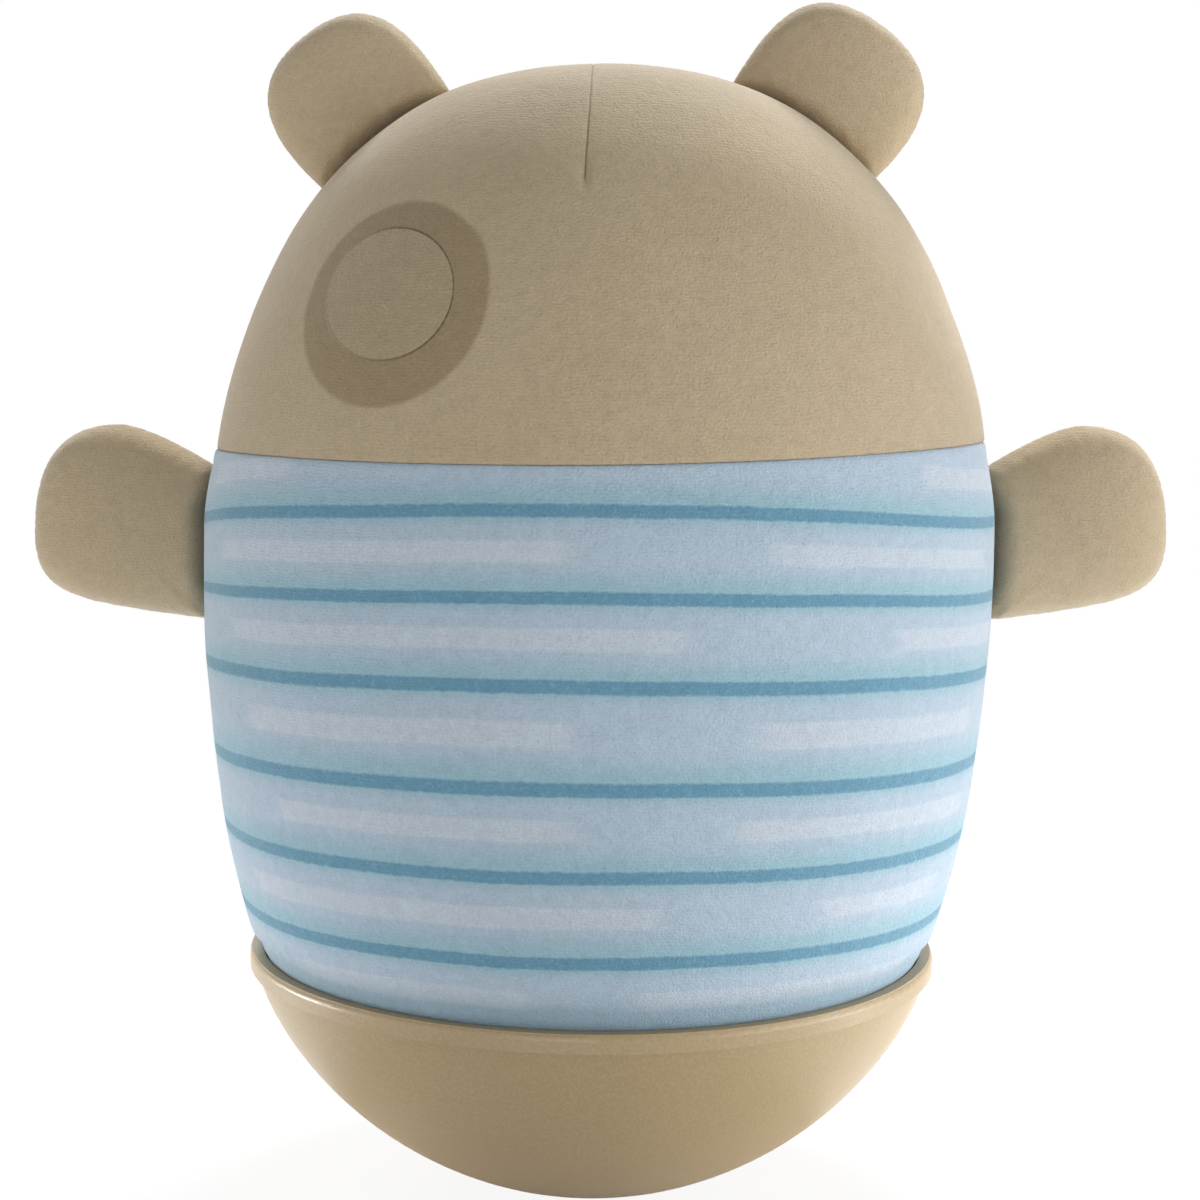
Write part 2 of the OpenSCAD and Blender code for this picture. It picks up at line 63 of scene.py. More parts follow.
# %% Camera
CAMERA_AT = (0.6, -363.7, 136.3)
CAMERA_DOWN, CAMERA_ROLL = 2.58, 0.7  # degrees
SENSOR_WIDTH, LENS = 36, 60.95
FRAME_SHIFT = -0.0733
NEAREST_SEEN = 10  # what is nearer to the camera isn't drawn
camera_data = bpy.data.cameras.new("camera")
camera_data.sensor_width, camera_data.lens = SENSOR_WIDTH, LENS
camera_data.shift_y = FRAME_SHIFT
camera_data.clip_start = NEAREST_SEEN * MM
camera = bpy.data.objects.new("camera", camera_data)
scene.collection.objects.link(camera)
look_down = Matrix.Rotation(math.radians(90 - CAMERA_DOWN), 4, "X")
roll = Matrix.Rotation(math.radians(CAMERA_ROLL), 4, "Z")
camera.matrix_world = Matrix.Translation(Vector(CAMERA_AT) * MM) @ look_down @ roll
scene.camera = camera
print("camera lens", camera_data.lens, "mm, shift", camera_data.shift_y)

# %% [markdown]
# ## Shader maths
# A material is a net of nodes. Wiring it by hand hides the sums, so one small class wraps a socket: adding
# or multiplying two wires adds the Math node for it, and `node` makes any other node.


# %% A wire that can be added and multiplied
class Wire:
    """One socket in a material, so that shader maths reads like plain Python."""

    def __init__(self, tree, socket=None):
        self.tree, self.socket = tree, socket

    def node(self, kind, settings=None, inputs=None, out=0):
        """A new node of a kind: its settings first, then the values or wires of its sockets."""
        made = self.tree.nodes.new("ShaderNode" + kind)
        for name, value in (settings or {}).items():
            if name == "stops":
                while len(made.color_ramp.elements) < len(value):
                    made.color_ramp.elements.new(1.0)
                for stop, (place, shade) in zip(made.color_ramp.elements, value):
                    stop.position, stop.color = place, shade
            elif name == "blend":
                made.color_ramp.interpolation = value
            else:
                setattr(made, name, value)
        for name, value in (inputs or {}).items():
            if isinstance(value, Wire):
                self.tree.links.new(value.socket, made.inputs[name])
            else:
                made.inputs[name].default_value = value
        return Wire(self.tree, made.outputs[out])

    def other(self, out):
        """Another output of the node that this wire comes from."""
        return Wire(self.tree, self.socket.node.outputs[out])

    def math(self, operation, *values):
        return self.node("Math", {"operation": operation}, dict(enumerate(values)))

    def __add__(self, other):
        return self.math("ADD", self, other)

    def __sub__(self, other):
        return self.math("SUBTRACT", self, other)

    def __rsub__(self, other):
        return self.math("SUBTRACT", other, self)

    def __mul__(self, other):
        return self.math("MULTIPLY", self, other)

    def __truediv__(self, other):
        return self.math("DIVIDE", self, other)

    def __rtruediv__(self, other):
        return self.math("DIVIDE", other, self)

    def __pow__(self, other):
        return self.math("POWER", self, other)

    def __rpow__(self, other):
        return self.math("POWER", other, self)

    __radd__, __rmul__ = __add__, __mul__

    def size(self):
        return self.math("ABSOLUTE", self)

    def sine(self):
        return self.math("SINE", self)

    def larger(self, other):
        return self.math("MAXIMUM", self, other)

    def step(self, low, high):
        """0 below low, 1 above high, and a smooth way between. High may be the lower one."""
        return self.node("MapRange", {"interpolation_type": "SMOOTHSTEP"},
                         {"Value": self, "From Min": low, "From Max": high})

    def mix(self, first, second):
        """A colour that goes from the first to the second as this wire goes from 0 to 1."""
        return self.node("Mix", {"data_type": "RGBA"}, {0: self, 6: first, 7: second}, out=2)


# %% [markdown]
# ## Materials
# A picture program gives colours as 0 to 255, and Blender works in linear numbers, so `colour` changes one
# into the other. Every pattern on the toy is worked out from the place on the object, so no piece needs an
# unwrapped skin or a picture.

# %% Colours, materials and places
def colour(red, green, blue):
    """A colour as a picture program gives it, 0 to 255, in the linear numbers that Blender works with."""
    def linear(value):
        value /= 255
        return value / 12.92 if value <= 0.04045 else ((value + 0.055) / 1.055) ** 2.4
    return (linear(red), linear(green), linear(blue), 1.0)


def new_material(name):
    """A plain material, a wire to start its maths from, and its shader node."""
    material = bpy.data.materials.new(name)
    material.use_nodes = True
    shader = material.node_tree.nodes["Principled BSDF"]
    return material, Wire(material.node_tree), shader


def finish_material(shader, values, links):
    """Sets the shader's fixed values, and links what changes over the surface."""
    for name, value in values.items():
        shader.inputs[name].default_value = value
    for name, source in links.items():
        source.tree.links.new(source.socket, shader.inputs[name])


def place_on_object(wire):
    """The place on the object as a vector in metres."""
    return wire.node("TexCoord", out="Object")


def place_in_mm(wire):
    """The place in millimetres, x to the right, y to the back and z up, and then the vector in metres."""
    here = place_on_object(wire)
    parts = wire.node("SeparateXYZ", inputs={0: here})
    return [parts.other(i) * 1000 for i in range(3)] + [here]


def cloud(here, scale, detail=2.0, roughness=0.5):
    """Noise with about that many waves to the metre."""
    return here.node("TexNoise", {},
                     {"Vector": here, "Scale": scale, "Detail": detail, "Roughness": roughness})


print("middle grey in linear numbers:", round(colour(128, 128, 128)[0], 3))

# %% [markdown]
# ## Floor
# The toy is shown on plain white. A floor that is lit until it is white would need so much light that the
# pale cloth bleaches. Instead its material tells rays apart with Light Path: a ray straight from the camera
# sees mostly plain white, and the rest is lit floor that keeps the toy's shadow. Further out it goes over
# to plain white, so that no horizon shows. A mirrored ray sees white only further out, because a white
# floor right under the bowl would shine in its underside.

# %% Floor
FLOOR_HALF = 4.0  # metres
FLOOR_PALE = colour(246, 246, 246)
NEAR_WHITE = 0.9  # how much of the floor near the toy is plain white to the camera
WHITE_FROM, WHITE_BY = 130.0, 330.0
WHITE = (1, 1, 1, 1)


def seen_by(wire):
    """Two wires: 1 for what the camera sees straight on, and 1 for what it sees in a shiny or clear piece."""
    straight = wire.node("LightPath", out="Is Camera Ray")
    return straight, straight.other("Is Glossy Ray").larger(straight.other("Is Transmission Ray"))


def pale_floor():
    material, wire, shader = new_material("pale_floor")
    finish_material(shader, {"Base Color": FLOOR_PALE, "Roughness": 0.9}, {})
    x, y, z, here = place_in_mm(wire)
    far = wire.math("SQRT", x * x + y * y).step(WHITE_FROM, WHITE_BY)
    straight, mirrored = seen_by(wire)
    white = straight * (far * (1 - NEAR_WHITE) + NEAR_WHITE) + mirrored * far
    glow = wire.node("Emission", inputs={"Color": WHITE, "Strength": 1.0})
    both = wire.node("MixShader", inputs={0: white, 1: Wire(wire.tree, shader.outputs[0]), 2: glow})
    wire.tree.links.new(both.socket, wire.tree.nodes["Material Output"].inputs["Surface"])
    return material


floor_mesh = bpy.data.meshes.new("floor")
floor_corners = [(x * FLOOR_HALF, y * FLOOR_HALF, 0) for x, y in ((-1, -1), (1, -1), (1, 1), (-1, 1))]
floor_mesh.from_pydata(floor_corners, [], [(0, 1, 2, 3)])
floor_mesh.materials.append(pale_floor())
floor = bpy.data.objects.new("floor", floor_mesh)
scene.collection.objects.link(floor)
print("floor", 2 * FLOOR_HALF, "m wide")

# %% [markdown]
# ## Sky
# A weak even sky fills the shadows. The camera sees it as white, straight on and in shiny or clear
# surfaces, by the same Light Path node, while the toy gets only its weaker light.

# %% Sky
SKY = 0.40
world = bpy.data.worlds.new("sky")
scene.world = world
world.use_nodes = True
sky_wire = Wire(world.node_tree)
straight, mirrored = seen_by(sky_wire)
seen = straight.larger(mirrored)
sky_light = world.node_tree.nodes["Background"]
sky_wire.tree.links.new((seen * (1 - SKY) + SKY).socket, sky_light.inputs["Strength"])
sky_light.inputs["Color"].default_value = WHITE
print("sky at", SKY, "of white")

# %% [markdown]
# ## Lamps
# Large square panels stand round the toy, the stronger ones on its right and behind it, so its right side
# is light and its crown and ears get a bright edge. They stay weak enough for the pale cloth to keep its
# colour from every side. Two small lamps with a narrow spread lie low beside the bowl and lift the edges of
# its underside, where the panels hardly reach. Standard as the view transform shows a colour as it is
# written.

# %% Lamps
PANEL_AIM, PANEL_SPREAD = 0.11, 180  # height in metres, and degrees
PANELS = {  # place and size in metres, and power in watts
    "panel_right": ((0.86, 0.12, 0.40), 0.5, 1.6),
    "panel_right_front": ((0.78, -0.40, 0.16), 0.5, 2.5),
    "panel_right_low": ((0.88, 0.10, 0.06), 0.4, 1.3),
    "panel_left_low": ((-0.88, 0.05, 0.06), 0.4, 1.2),
    "panel_back_left": ((-0.42, 0.85, 0.60), 0.25, 2.6),
    "panel_top_back": ((0.14, 0.52, 0.82), 0.22, 7.8),
    "panel_front": ((-0.10, -0.90, 0.12), 0.5, 1.2),
}
BOWL_AIM, BOWL_SPREAD = 0.02, 34
BOWL_LAMPS = {
    "panel_bowl_left": ((-0.36, 0.05, 0.025), 0.05, 0.03),
    "panel_bowl_right": ((0.36, -0.03, 0.025), 0.05, 0.026),
}


def add_lamps(lamps, aim_height, spread):
    """Square lamps that look at a height on the toy's axis, their light spread over some degrees."""
    for name, (place, size, power) in lamps.items():
        lamp_data = bpy.data.lights.new(name, "AREA")
        lamp_data.shape, lamp_data.size, lamp_data.energy = "SQUARE", size, power
        lamp_data.spread = math.radians(spread)
        lamp = bpy.data.objects.new(name, lamp_data)
        scene.collection.objects.link(lamp)
        lamp.location = place
        toward = Vector((0, 0, aim_height)) - Vector(place)
        lamp.rotation_euler = toward.to_track_quat("-Z", "Y").to_euler()
        print(name, power, "W")


add_lamps(PANELS, PANEL_AIM, PANEL_SPREAD)
add_lamps(BOWL_LAMPS, BOWL_AIM, BOWL_SPREAD)
scene.view_settings.view_transform = "Standard"

# %% [markdown]
# ## Knitted cloth
# The bear is sewn from a fine brushed knit: rows of small loops under a short pile. The loops are only half
# a millimetre apart, so a mesh of them would be far too large, and their height goes into a Bump node
# instead. The rows are a sine wave down the cloth, moved about by noise. The pile is a finer noise, and its
# clumps a coarser one. The same height darkens the colour between the hairs, and a soft sheen gives the
# light edge that brushed cloth has.

# %% Knitted cloth
LOOP_PITCH = 0.52
ROWS_SHARE, PILE_SHARE, CLUMPS_SHARE = 0.06, 0.66, 0.28  # of the knit's height
KNIT_DEPTH = 0.48
DEEPEST_SHADE, SHADE_RANGE = 0.7, 0.6
SHEEN_CREAM = colour(255, 248, 236)


def knit_height(here, along):
    """Height of the knit, about 0 to 1. Along is the place down the cloth in millimetres."""
    drift = cloud(here, 300.0) * 1.2
    rows = ((along + drift) * (2 * math.pi / LOOP_PITCH)).sine() * 0.5 + 0.5
    pile = cloud(here, 2400.0, roughness=0.6)
    clumps = cloud(here, 520.0, detail=1.0)
    return rows * ROWS_SHARE + pile * PILE_SHARE + clumps * CLUMPS_SHARE


def cloth_finish(shader, paint, height, sheen=0.5):
    """Sets the shader up as brushed cloth with that paint and that height of knit."""
    bump = height.node("Bump", {}, {"Strength": 0.8, "Distance": KNIT_DEPTH * MM, "Height": height})
    shade = height * SHADE_RANGE + DEEPEST_SHADE
    grey = height.node("CombineColor", {}, {0: shade, 1: shade, 2: shade})
    shaded = height.node("Mix", {"data_type": "RGBA", "blend_type": "MULTIPLY"},
                         {0: 1.0, 6: paint, 7: grey}, out=2)
    finish_material(shader,
                    {"Roughness": 0.9, "Sheen Weight": sheen, "Sheen Roughness": 0.35,
                     "Sheen Tint": SHEEN_CREAM, "Specular IOR Level": 0.15},
                    {"Base Color": shaded, "Normal": bump})


print("rows of loops in a centimetre:", round(10 / LOOP_PITCH))

# %% [markdown]
# ## Curves of the sewn covers
# The covers of head and body are turned forms: one curve from the crown down to the neck seam, and one from
# the neck seam down into the bowl. They are the curves of the construction model, written as radius at a
# height, so the cloth lies where the solids are.

# %% Curves of the covers
BOWL_RIM, NECK, CROWN = 43.5, 131.0, 198.0
NECK_R, BELLY_R, BELLY_Z, RIM_R = 67.4, 69.5, 118.0, 59.6
SHOULDER_BEND, BELLY_BEND = 1.6, 2.4  # powers: the larger, the longer the curve stays upright
CROWN_BEND, HEAD_BEND = 1.5, 2.6


def body_radius(z):
    if z > BELLY_Z:
        return BELLY_R - (BELLY_R - NECK_R) * ((z - BELLY_Z) / (NECK - BELLY_Z)) ** SHOULDER_BEND
    return BELLY_R - (BELLY_R - RIM_R) * ((BELLY_Z - z) / (BELLY_Z - BOWL_RIM)) ** BELLY_BEND


def head_radius(z):
    rise = max(0.0, (z - NECK) / (CROWN - NECK))
    return NECK_R * max(0.0, 1 - rise ** CROWN_BEND) ** (1 / HEAD_BEND)


print("head's radius half way up:", round(head_radius((NECK + CROWN) / 2), 1))

# %% [markdown]
# ## A cover from a curve
# Blender's Screw modifier could turn a curve, but it spaces its steps evenly, and a sewn seam is a groove
# of half a millimetre. So the mesh is built here, with its steps close together at the seams and wide
# elsewhere. Each cover brings its own function that moves a point: out where the stuffing pushes, in where
# a thread pulls.

# %% A cover from a curve
WIDE_STEP, STEP_GROWTH = 1.3, 0.45  # degrees, and degrees for each degree from a seam


def turned_angles(seams):
    """Angles round a cover in degrees. A seam is an angle, the fine step there, and how far that reaches."""
    angles, angle = [], -180.0
    while angle < 180.0 - 1e-6:
        angles.append(angle)
        step = WIDE_STEP
        for seam, fine, reach in seams:
            gap = max(0.0, abs((angle + fine - seam + 180) % 360 - 180) - reach)
            step = min(step, fine + STEP_GROWTH * gap)
        angle += step
    return angles


def make_piece(name, vertices, faces, material):
    """A mesh from points in millimetres, with its material."""
    mesh = bpy.data.meshes.new(name)
    mesh.from_pydata([Vector(v) * MM for v in vertices], [], faces)
    mesh.validate()
    mesh.update()
    mesh.polygons.foreach_set("use_smooth", [True] * len(mesh.polygons))
    mesh.materials.append(material)
    piece = bpy.data.objects.new(name, mesh)
    scene.collection.objects.link(piece)
    print(name, len(mesh.vertices), "points")
    return piece


def turned_cover(name, curve, seams, shape, material, closed_top):
    """A cover from a curve of (radius, height), turned round the toy. Shape moves each point."""
    angles = turned_angles(seams)
    n = len(angles)
    vertices = [shape(radius, z, math.radians(angle)) for radius, z in curve for angle in angles]
    faces = []
    for j in range(len(curve) - 1):
        for i in range(n):
            k = (i + 1) % n
            faces.append((j * n + i, j * n + k, (j + 1) * n + k, (j + 1) * n + i))
    if closed_top:
        vertices.append(shape(0.0, curve[-1][1], 0.0))
        last = (len(curve) - 1) * n
        faces += [(last + i, last + (i + 1) % n, len(vertices) - 1) for i in range(n)]
    return make_piece(name, vertices, faces, material)


print("widest step round a cover:", WIDE_STEP, "degrees")

# %% [markdown]
# ## Stripes of the body
# The body's knit is printed with thin blue-green stripes, each with a wash of the same hue beside it that
# reaches further above the stripe than below it. The stripes rise a little in front and behind, and waver.
# A picture could hold the print, but it would blur close up, so it is worked out from the height on the
# body. A colour ramp gives each stripe a whole number, and the distance to the nearest whole number says
# where stripe and wash are.

# %% Stripes
STRIPES = (53.4, 66.5, 79.5, 94.6, 107.3, 119.7)  # heights at the sides, from the bowl up
ROW_COUNT, ROW_HEIGHT = 7, 13.2
BELOW_STRIPES, ABOVE_STRIPES = 40.2, 132.9  # where a further stripe would be
PRINT_LOW, PRINT_SPAN = 35.0, 100.0
STRIPE_HALF, STRIPE_SOFT = 0.98, 0.22
RISE_SHARE, RISE_LESS = 0.031, 0.24  # a stripe's rise in front: this share of its height, less this
WAVER, LEFT_DIP = 1.2, 1.1
WASH_FROM, WASH_FULL = 4.4, 0.9  # mm from a stripe where the wash begins and where it is full
WASH_ABOVE, WASH_BELOW = 0.8, 1.5  # how fast it thins out on either side


def stripe_rows(y, z, angle, from_axis, here):
    """A number that goes up by 1 from stripe to stripe, and is whole on each of them."""
    front = y / from_axis
    rise = front * front * (RISE_SHARE * z - RISE_LESS)
    waver = (cloud(here, 22.0) - 0.5) * WAVER
    left_end = angle.step(-0.9, -1.4) * angle.step(-2.6, -1.9)
    dip = left_end * z.step(100.0, 118.0) * LEFT_DIP  # the top stripe runs down at its left end
    level = z - rise - waver + dip
    heights = (BELOW_STRIPES,) + STRIPES + (ABOVE_STRIPES,)
    shares = [i / ROW_COUNT for i in range(len(heights))]
    stops = [((height - PRINT_LOW) / PRINT_SPAN, (share, share, share, 1))
             for height, share in zip(heights, shares)]
    return z.node("ValToRGB", {"stops": stops}, {"Fac": (level - PRINT_LOW) / PRINT_SPAN}) * ROW_COUNT


def stripe_and_wash(row, here, streaks):
    """Two masks: the thin stripe with its ragged edge, and the wash beside it."""
    nearest = row.math("ROUND", row)
    inside = nearest.step(0.4, 0.6) * nearest.step(6.6, 6.4)  # no stripe at the bowl and at the neck
    beside = (row - nearest) * ROW_HEIGHT  # mm from the nearest stripe, negative under it
    ragged = (cloud(here, 900.0, detail=3.0) - 0.5) * 0.5
    stripe = (beside + ragged).size().step(STRIPE_HALF + STRIPE_SOFT, STRIPE_HALF - STRIPE_SOFT)
    uneven = (beside * WASH_ABOVE).larger(beside * -WASH_BELOW)
    wash = (uneven + (streaks - 0.5) * 1.6).step(WASH_FROM, WASH_FULL)
    return stripe * inside, wash * inside


print("stripes at", STRIPES, "mm")

# %% [markdown]
# ## Brush strokes of the body
# Between two stripes lie one or two pale strokes with soft ends, as if laid on with a dry brush. Each row
# needs four angles, the start and end of two strokes. A ramp with constant steps can hold four numbers for
# each row, as red, green, blue and alpha, so it serves as a small table that the shader looks up. The back
# has the same strokes with other ends.

# %% Brush strokes
STROKE_ENDS = (  # radians from the front, from the bowl up: start and end of a left and a right stroke
    (-0.93, -0.12, 0.07, 1.05),
    (-1.08, 0.20, 0.54, 1.12),
    (-0.90, 0.00, 0.29, 1.20),
    (-1.00, -0.01, 0.34, 1.16),
    (-1.07, 0.24, 0.70, 1.30),
    (-1.12, -0.02, 0.35, 1.22),
    (-1.25, -0.75, 0.80, 1.35),
)
BACK_SHIFT = (0.30, 0.35, 0.20, -0.10)
TURN_MOST = 1.6  # the ramp's 0 to 1 stands for this angle to the left up to this angle to the right
END_SOFT = 0.08
STROKE_MIDDLE = 0.53  # share of the row's height
STROKE_OUTER, STROKE_INNER = 2.05, 1.3  # mm from its middle where a stroke begins and where it is full


def stroke_ends(turn, row_below, ends, streaks):
    """1 where a turn from the front lies between the ends of a stroke of its row."""
    stops = [(i / ROW_COUNT, tuple((end + TURN_MOST) / (2 * TURN_MOST) for end in row_ends))
             for i, row_ends in enumerate(ends)]
    table = turn.node("ValToRGB", {"stops": stops, "blend": "CONSTANT"},
                      {"Fac": (row_below + 0.5) / ROW_COUNT})
    parts = turn.node("SeparateColor", {}, {0: table})
    coded = [parts.other(i) for i in range(3)] + [table.other("Alpha")]
    a, b, c, d = (code * (2 * TURN_MOST) - TURN_MOST for code in coded)
    dry = (streaks - 0.5) * 0.1
    left = (turn + dry - a).step(0.0, END_SOFT) * (b - turn + dry).step(0.0, END_SOFT)
    right = (turn + dry - c).step(0.0, END_SOFT) * (d - turn + dry).step(0.0, END_SOFT)
    return left.larger(right)


def brush_strokes(x, y, angle, row, streaks):
    """The mask of the strokes, in front and behind."""
    row_below = row.math("FLOOR", row)
    from_middle = (row - row_below - STROKE_MIDDLE) * ROW_HEIGHT
    back_turn = x.math("ARCTAN2", x * -1, y)
    back_ends = [tuple(end + shift for end, shift in zip(row_ends, BACK_SHIFT)) for row_ends in STROKE_ENDS]
    in_front = stroke_ends(angle, row_below, STROKE_ENDS, streaks) * y.step(6.0, -6.0)
    behind = stroke_ends(back_turn, row_below, back_ends, streaks) * y.step(-6.0, 6.0)
    return in_front.larger(behind) * (from_middle + (streaks - 0.5)).size().step(STROKE_OUTER, STROKE_INNER)


print("strokes in", len(STROKE_ENDS), "rows")

# %% [markdown]
# ## The body's print put together
# The print is painted in the order in which it would be printed: the grey-lilac ground with its wash, the
# pale strokes, and then the stripes, which are a little worn by the pile. Last comes painted shade over the
# hem, which darkens the cloth where it goes down into the bowl's lip.

# %% Print put together
GROUND_LILAC, WASH_BLUE = colour(174, 191, 206), colour(151, 185, 198)
STROKE_PALE, STRIPE_TEAL, HEM_SHADE_TEAL = colour(189, 200, 212), colour(105, 150, 173), colour(96, 138, 156)
# heights and strength of the painted shade over the hem
HEM_SHADE_FROM, HEM_SHADE_BY, HEM_SHADE_AMOUNT = 51.0, 44.5, 0.45


def striped_cloth():
    material, wire, shader = new_material("striped_knit")
    x, y, z, here = place_in_mm(wire)
    angle = wire.math("ARCTAN2", x, y * -1)  # 0 in front, positive to the viewer's right
    from_axis = wire.math("SQRT", x * x + y * y)
    flattened = wire.node("VectorMath", {"operation": "MULTIPLY"}, {0: here, 1: (1.0, 1.0, 9.0)})
    streaks = cloud(flattened, 60.0, detail=3.0)
    row = stripe_rows(y, z, angle, from_axis, here)
    stripe, wash = stripe_and_wash(row, here, streaks)
    paint = wash.mix(GROUND_LILAC, WASH_BLUE)
    paint = brush_strokes(x, y, angle, row, streaks).mix(paint, STROKE_PALE)
    worn = cloud(here, 1400.0).step(0.25, 0.5) * 0.25 + 0.75
    paint = (stripe * worn).mix(paint, STRIPE_TEAL)
    # painted shade: the cloth darkens to teal towards the bowl's lip, where it goes down into the gap
    paint = (z.step(HEM_SHADE_FROM, HEM_SHADE_BY) * HEM_SHADE_AMOUNT).mix(paint, HEM_SHADE_TEAL)
    cloth_finish(shader, paint, knit_height(here, z), sheen=0.35)
    return material


striped_knit = striped_cloth()
print("nodes in the print:", len(striped_knit.node_tree.nodes))

# %% [markdown]
# ## Swell and seams
# Stuffed cloth is never quite even, and a thread draws it in. A Displace modifier could give the first, but a
# seam needs its own form: a narrow groove between two low swells. So both are small functions, which the
# covers add to their curves.

# %% Swell and seams
def around(radius, angle):
    """A place at a radius and an angle round the toy, 0 in front and positive to the viewer's right."""
    return radius * math.sin(angle), -radius * math.cos(angle)


def share_of(value, low, high):
    """How far a value is on its way from low to high, from 0 to 1."""
    return min(1.0, max(0.0, (value - low) / (high - low)))


def hump(distance, width):
    """A smooth hump, 1 in the middle and nearly 0 at twice the width."""
    return math.exp(-(distance / width) ** 2)


def soft_unevenness(x, y, z, reach, amount):
    """A gentle unevenness of stuffed cloth, the same on every run."""
    return amount * noise.noise(Vector((x, y, z)) / reach)


def seam_dip(distance, depth, width):
    """Depth of a sewn seam at a distance from it: a narrow groove between two low swells of stuffed cloth."""
    return depth * (hump(distance, width) - 0.3 * hump(abs(distance) - 3 * width, 1.6 * width))


print("a seam's groove at 1 mm:", round(seam_dip(1.0, 0.5, 0.4), 3))

# %% [markdown]
# ## Body cover
# The body is a tight cover over firm wadding, sewn from a front and a back panel. A cloth simulation would
# find no slack in it, so the cover is turned from its curve, and the stuffing's unevenness and the grooves
# of the side seams are put in as geometry. Its hem goes down inside the bowl's lip. At the neck the cloth
# turns in to the seam, which isn't quite level, and the whole sewn toy sits a little to the right on its
# bowl.

# %% Body cover
SIDE_SEAMS = ((90.0, 0.18, 1.6), (-90.0, 0.18, 1.6))  # angle, fine step and reach in degrees
SEAM_DEPTH, SEAM_WIDTH = 0.5, 0.4
SEAM_OVER_RIM, SWELL_BY = 2.0, 8.0  # mm over the bowl's rim
BODY_SWELLS = ((24.0, 0.35), (9.0, 0.08))  # reach and amount of the broad and the fine unevenness
TILT_FROM, TILT_RANGE = 95.0, 36.0
RIGHT_UP, SIDES_UP, FRONT_DOWN = 0.022, 1.1, 1.2
LEAN_LOW, LEAN_HIGH = (48.0, 93.0), (125.0, 168.0)  # heights between which it goes over, half a mm each


def neck_tilt(x, y, z):
    """The neck seam runs a little lower in front and a little higher on the viewer's right."""
    share = max(0.0, (z - TILT_FROM) / TILT_RANGE) ** 2
    return share * (RIGHT_UP * x + SIDES_UP * (x / NECK_R) ** 2 - FRONT_DOWN * max(0.0, -y / NECK_R) ** 2)


def lean(z):
    """How far the sewn toy sits to the viewer's right at a height, in millimetres."""
    def smooth_step(low, high):
        share = share_of(z, low, high)
        return share * share * (3 - 2 * share)
    return 0.5 * smooth_step(*LEAN_LOW) + 0.5 * smooth_step(*LEAN_HIGH)


def body_shape(radius, z, angle):
    x, y = around(radius, angle)
    swell = sum(soft_unevenness(x, y, z, *each) for each in BODY_SWELLS)
    if z > BOWL_RIM + SEAM_OVER_RIM:
        swell -= seam_dip(abs(y), SEAM_DEPTH, SEAM_WIDTH)
    x, y = around(radius + swell * share_of(z, BOWL_RIM, BOWL_RIM + SWELL_BY), angle)
    return x + lean(z), y, z + neck_tilt(x, y, z)


tuck = [(54.2, 35.6), (55.6, 37.6), (56.8, 40.0), (57.7, 42.0), (58.3, 43.4), (58.85, 44.4), (59.25, 45.4),
        (59.6, 46.6)]
belly_heights = [47.7 + 0.9 * i for i in range(91)]
belly = [(body_radius(z) - 0.15 * max(0.0, (50.0 - z) / 3.0) ** 2, z) for z in belly_heights]
into_neck = [(67.95, 129.0), (67.85, 129.7), (67.75, 130.3), (67.6, 130.7), (67.35, 130.92), (66.9, 131.0)]
body_cover = turned_cover("body_cover", tuck + belly + into_neck, SIDE_SEAMS, body_shape,
                          striped_knit, closed_top=False)
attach(body_cover, "base")
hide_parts("body_front_panel", "body_back_panel", "body_wadding")

# %% [markdown]
# ## Tan cloth
# Head, ears, arms and eye disc are one tan knit, slightly mottled. Round one eye a darker leaning oval is
# printed on the head's cloth. The disc over it has its edge drawn in by small stitches, which show as a
# broken dark line of thread and painted shade of the groove, the shade stronger on the viewer's right.
# Patch and stitches are masks over the same tan, so one function makes all three cloths, and each mask is a
# function that adds to its paint.

# %% Tan cloth
HEAD_TANS = colour(179, 162, 134), colour(189, 172, 144)
# the limbs' tans are the head's, painted a little lighter: painted light on the arms and ears
LIMB_LIT_TANS = colour(185, 167, 138), colour(193, 175, 146)
DISC_TANS = colour(166, 150, 123), colour(174, 158, 131)
PATCH_BROWN, THREAD_AND_SHADE_BROWN = colour(156, 138, 110), colour(84, 71, 52)
PATCH_AT, PATCH_HALF, PATCH_LEAN = (-31.4, 153.9), (15.0, 16.1), 0.15  # leans by mm aside for each mm up
DISC_AT, DISC_HALF, DISC_LEAN = (-33.2, 155.4), (10.74, 10.65), 0.06
DISC_STITCHES = 52


def oval_share(x, z, at, half, slant):
    """How far a point is on its way from the middle of a leaning oval, 0, to its edge, 1."""
    rise = z - at[1]
    side = x - at[0] - rise * slant
    return x.math("SQRT", (side / half[0]) ** 2 + (rise / half[1]) ** 2)


def eye_patch(paint, x, y, z, here):
    """The paint with the printed patch round the eye."""
    blur = (cloud(here, 110.0, detail=3.0) - 0.5) * 0.06
    mask = (oval_share(x, z, PATCH_AT, PATCH_HALF, PATCH_LEAN) + blur).step(1.03, 0.97)
    return (mask * y.step(2.0, -2.0)).mix(paint, PATCH_BROWN)


def disc_stitches_and_shade(paint, x, y, z, here):
    """The paint with a dark line of thread and painted shade at the disc's edge, stronger on the right."""
    turn = x.math("ARCTAN2", z - DISC_AT[1], x - DISC_AT[0])
    pulled = (turn * DISC_STITCHES).sine().step(-0.9, 0.5) * 0.16 + 0.84
    drawn_in = oval_share(x - lean(DISC_AT[1]), z, DISC_AT, DISC_HALF, DISC_LEAN).step(0.95, 0.972)
    # painted shade: the line is stronger on the viewer's right, where the groove by the disc lies in shade
    shade_on_right = (x - DISC_AT[0]).step(-9.0, 9.0) * 0.5 + 0.35
    return (drawn_in * pulled * shade_on_right).mix(paint, THREAD_AND_SHADE_BROWN)


